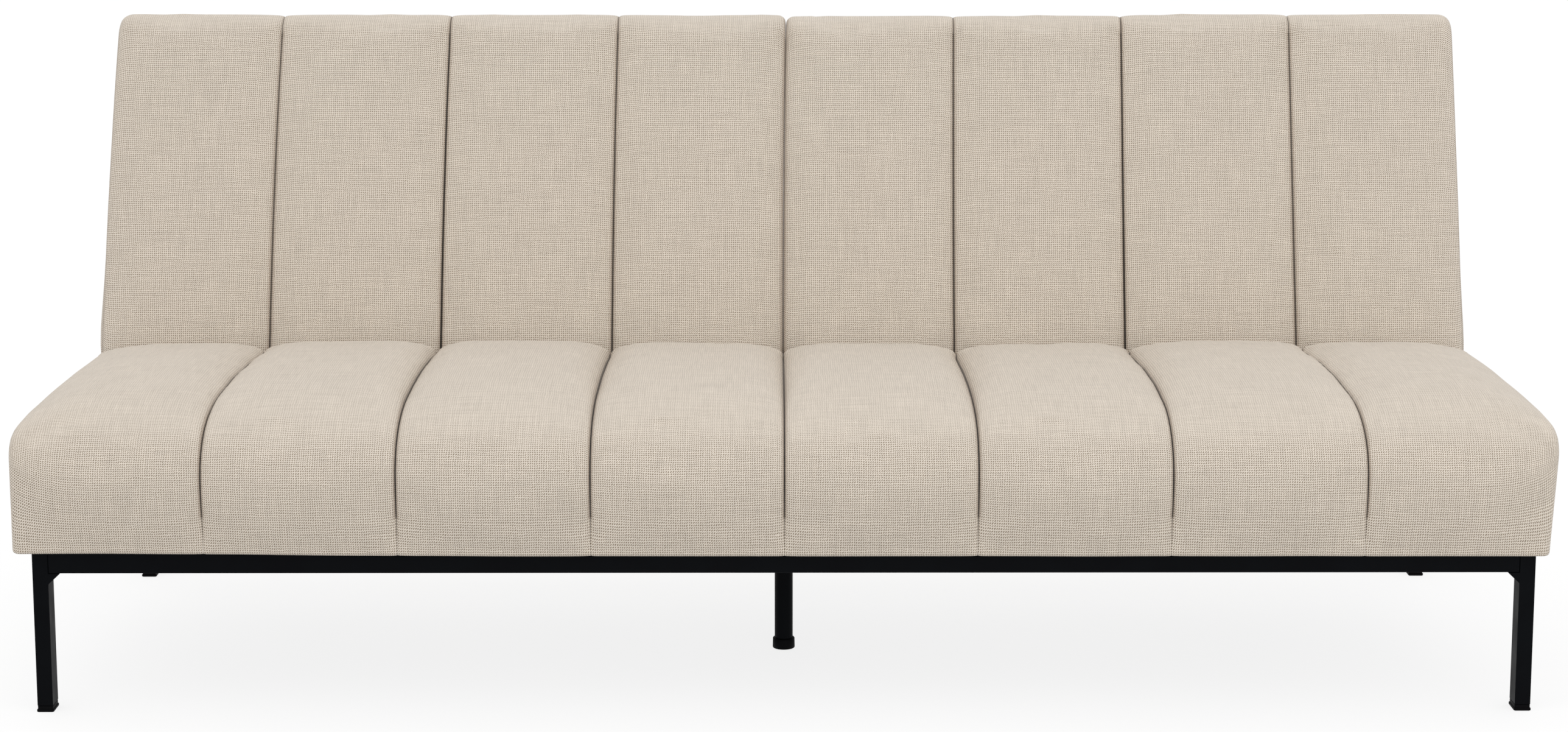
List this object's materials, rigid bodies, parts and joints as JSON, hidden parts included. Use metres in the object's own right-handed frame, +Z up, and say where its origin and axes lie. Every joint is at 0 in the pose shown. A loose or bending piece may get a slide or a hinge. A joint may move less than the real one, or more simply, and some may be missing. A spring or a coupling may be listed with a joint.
{
  "type": "click clack sofa bed",
  "caption": "Armless quilted sofa bed whose back folds flat in two separate halves on ratchet hinges, on a slim black steel base.",
  "frame": {"origin": "on the floor, at the middle of the sofa's width and of its depth with the back upright", "axes": "+X along the length, to the right of a person who looks at the front; +Y from the seat's front to the rear of the back; +Z up"},
  "size_m": [1.98, 0.8816, 0.8387],
  "materials": {
    "cover_fabric": "matte",
    "rear_fabric": "matte",
    "dust_cloth": "matte",
    "foam": "matte",
    "wood": "matte",
    "frame_steel": "satin",
    "foot_plastic": "matte",
    "zinc_steel": "satin",
    "spring_steel": "satin"
  },
  "bodies": {
    "base": {"leg_front_left": "frame_steel", "glide_front_left": "foot_plastic", "leg_front_right": "frame_steel", "glide_front_right": "foot_plastic", "leg_rear_left": "frame_steel", "glide_rear_left": "foot_plastic", "leg_rear_right": "frame_steel", "glide_rear_right": "foot_plastic", "rail_front": "frame_steel", "rail_rear": "frame_steel", "rail_left": "frame_steel", "rail_right": "frame_steel", "centre_tube": "frame_steel", "centre_leg": "frame_steel", "centre_leg_foot": "foot_plastic", "seat_cover": "cover_fabric", "seat_foam": "foam", "seat_dust_cloth": "dust_cloth", "seat_deck": "wood", "seat_frame_front": "wood", "seat_frame_rear": "wood", "seat_frame_middle": "wood", "seat_frame_left": "wood", "seat_frame_right": "wood", "hinge_arm_outer_left": "frame_steel", "hinge_pin_outer_left": "zinc_steel", "pawl_spring_outer_left": "spring_steel", "hinge_arm_inner_left": "frame_steel", "hinge_pin_inner_left": "zinc_steel", "pawl_spring_inner_left": "spring_steel", "hinge_arm_outer_right": "frame_steel", "hinge_pin_outer_right": "zinc_steel", "pawl_spring_outer_right": "spring_steel", "hinge_arm_inner_right": "frame_steel", "hinge_pin_inner_right": "zinc_steel", "pawl_spring_inner_right": "spring_steel"},
    "back_left": {"back_cover_left": "cover_fabric", "back_foam_left": "foam", "back_rear_panel_left": "rear_fabric", "back_stile_outer_left": "wood", "back_stile_inner_left": "wood", "back_rail_lower_left": "wood", "back_rail_upper_left": "wood", "back_arm_outer_left": "zinc_steel", "back_arm_inner_left": "zinc_steel"},
    "back_right": {"back_cover_right": "cover_fabric", "back_foam_right": "foam", "back_rear_panel_right": "rear_fabric", "back_stile_outer_right": "wood", "back_stile_inner_right": "wood", "back_rail_lower_right": "wood", "back_rail_upper_right": "wood", "back_arm_outer_right": "zinc_steel", "back_arm_inner_right": "zinc_steel"},
    "pawl_outer_left": {"pawl_outer_left": "zinc_steel"},
    "pawl_inner_left": {"pawl_inner_left": "zinc_steel"},
    "pawl_outer_right": {"pawl_outer_right": "zinc_steel"},
    "pawl_inner_right": {"pawl_inner_right": "zinc_steel"}
  },
  "joints": [
    {"name": "back_left_recline", "type": "hinge", "parent": "base", "child": "back_left", "pos_m": [0, 0.17641, 0.3568], "axis": [1, 0, 0], "range_deg": [-67.5, 10]},
    {"name": "back_right_recline", "type": "hinge", "parent": "base", "child": "back_right", "pos_m": [0, 0.17641, 0.3568], "axis": [1, 0, 0], "range_deg": [-67.5, 10]},
    {"name": "pawl_outer_left_swing", "type": "hinge", "parent": "base", "child": "pawl_outer_left", "pos_m": [0, 0.14641, 0.3008], "axis": [1, 0, 0], "range_deg": [-5, 7], "stiffness_Nm_per_rad": 2, "deforming": ["pawl_spring_outer_left"]},
    {"name": "pawl_inner_left_swing", "type": "hinge", "parent": "base", "child": "pawl_inner_left", "pos_m": [0, 0.14641, 0.3008], "axis": [1, 0, 0], "range_deg": [-5, 7], "stiffness_Nm_per_rad": 2, "deforming": ["pawl_spring_inner_left"]},
    {"name": "pawl_outer_right_swing", "type": "hinge", "parent": "base", "child": "pawl_outer_right", "pos_m": [0, 0.14641, 0.3008], "axis": [1, 0, 0], "range_deg": [-5, 7], "stiffness_Nm_per_rad": 2, "deforming": ["pawl_spring_outer_right"]},
    {"name": "pawl_inner_right_swing", "type": "hinge", "parent": "base", "child": "pawl_inner_right", "pos_m": [0, 0.14641, 0.3008], "axis": [1, 0, 0], "range_deg": [-5, 7], "stiffness_Nm_per_rad": 2, "deforming": ["pawl_spring_inner_right"]}
  ]
}
